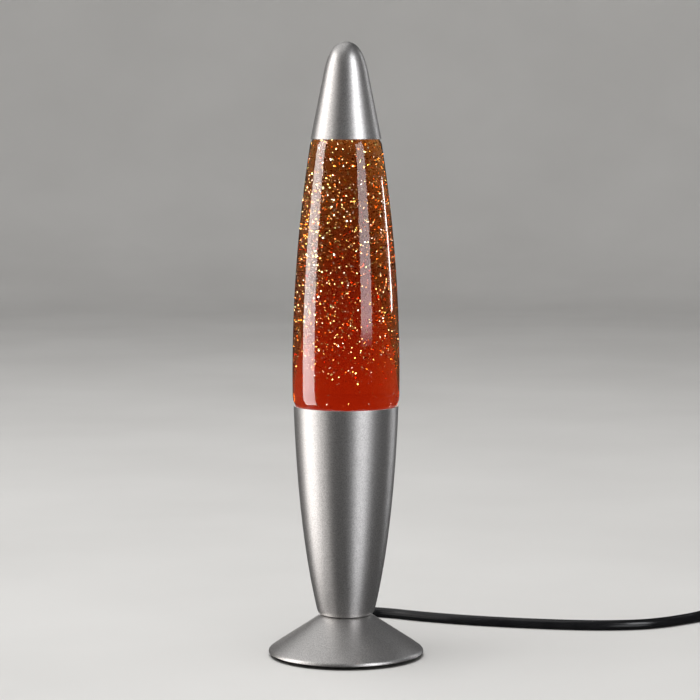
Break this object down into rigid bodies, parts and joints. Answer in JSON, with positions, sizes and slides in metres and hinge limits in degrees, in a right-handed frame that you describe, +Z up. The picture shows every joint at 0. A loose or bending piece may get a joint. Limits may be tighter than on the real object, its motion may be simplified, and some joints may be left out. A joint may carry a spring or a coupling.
{
  "type": "glitter lava lamp",
  "caption": "Rocket-shaped glitter lava lamp: a glass bottle of dyed liquid on a spun metal base over a reflector bulb, with a lift-off cap and a switched mains cord.",
  "frame": {"origin": "on the table under the centre of the lamp", "axes": "+Z up the lamp's axis, +Y to the back where the cord leaves, +X to the right seen from the front"},
  "size_m": [0.3747, 0.1604, 0.35],
  "materials": {
    "silver_paint": "satin",
    "clear_glass": "polished",
    "dyed_liquid": "gloss",
    "white_plastic": "satin",
    "black_rubber": "matte",
    "black_plastic": "satin",
    "zinc_steel": "satin",
    "brass": "satin",
    "fibre": "matte",
    "ceramic": "satin",
    "silvered_glass": "polished",
    "cord_black": "gloss",
    "core_brown": "satin",
    "core_blue": "satin"
  },
  "bodies": {
    "base": {"base_body": "silver_paint", "foot_shell": "silver_paint", "strain_relief": "black_rubber", "rubber_foot_1": "black_rubber", "rubber_foot_2": "black_rubber", "rubber_foot_3": "black_rubber", "rubber_foot_4": "black_rubber", "bottom_cover": "black_plastic", "lampholder_shell": "black_plastic", "cord_tie": "black_plastic", "switch_lower_shell": "black_plastic", "switch_upper_shell": "black_plastic", "plug_body": "black_plastic", "cover_bracket": "zinc_steel", "cover_screw_1": "zinc_steel", "cover_screw_2": "zinc_steel", "nipple_tube": "zinc_steel", "lock_washer": "zinc_steel", "switch_screw_1": "zinc_steel", "switch_screw_2": "zinc_steel", "nipple_nut": "brass", "lampholder_sleeve": "brass", "lampholder_contact": "brass", "switch_contact_1": "brass", "switch_contact_2": "brass", "plug_pin_1": "brass", "plug_pin_2": "brass", "insulating_washer": "fibre", "lampholder_insert": "ceramic", "cord_inside": "cord_black", "cord_to_switch": "cord_black", "cord_to_coil": "cord_black", "cord_coil": "cord_black", "cord_to_plug": "cord_black", "core_live": "core_brown", "core_neutral": "core_blue"},
    "bottle": {"bottle_glass": "clear_glass", "bottle_liquid": "dyed_liquid", "bottle_screw_cap": "white_plastic", "bottle_cap_seal": "black_rubber"},
    "top_cap": {"top_cap": "silver_paint"},
    "bulb": {"bulb_envelope": "silvered_glass", "bulb_screw_cap": "brass", "bulb_insulator": "black_plastic", "bulb_contact": "zinc_steel", "bulb_stem": "clear_glass", "bulb_filament": "zinc_steel"},
    "rocker": {"switch_rocker": "black_plastic"}
  },
  "joints": [
    {"name": "bottle_lift", "type": "slide", "parent": "base", "child": "bottle", "axis": [0, 0, 1], "range_m": [0, 0.08]},
    {"name": "cap_lift", "type": "slide", "parent": "bottle", "child": "top_cap", "axis": [0, 0, 1], "range_m": [0, 0.06]},
    {"name": "bulb_unscrew", "type": "hinge", "parent": "base", "child": "bulb", "pos_m": [0, 0, 0.07], "axis": [0, 0, 1], "range_deg": [0, 2160]},
    {"name": "switch_rock", "type": "hinge", "parent": "base", "child": "rocker", "pos_m": [0.269, 0.104, 0.012], "axis": [0, 1, 0], "range_deg": [0, 18]}
  ]
}
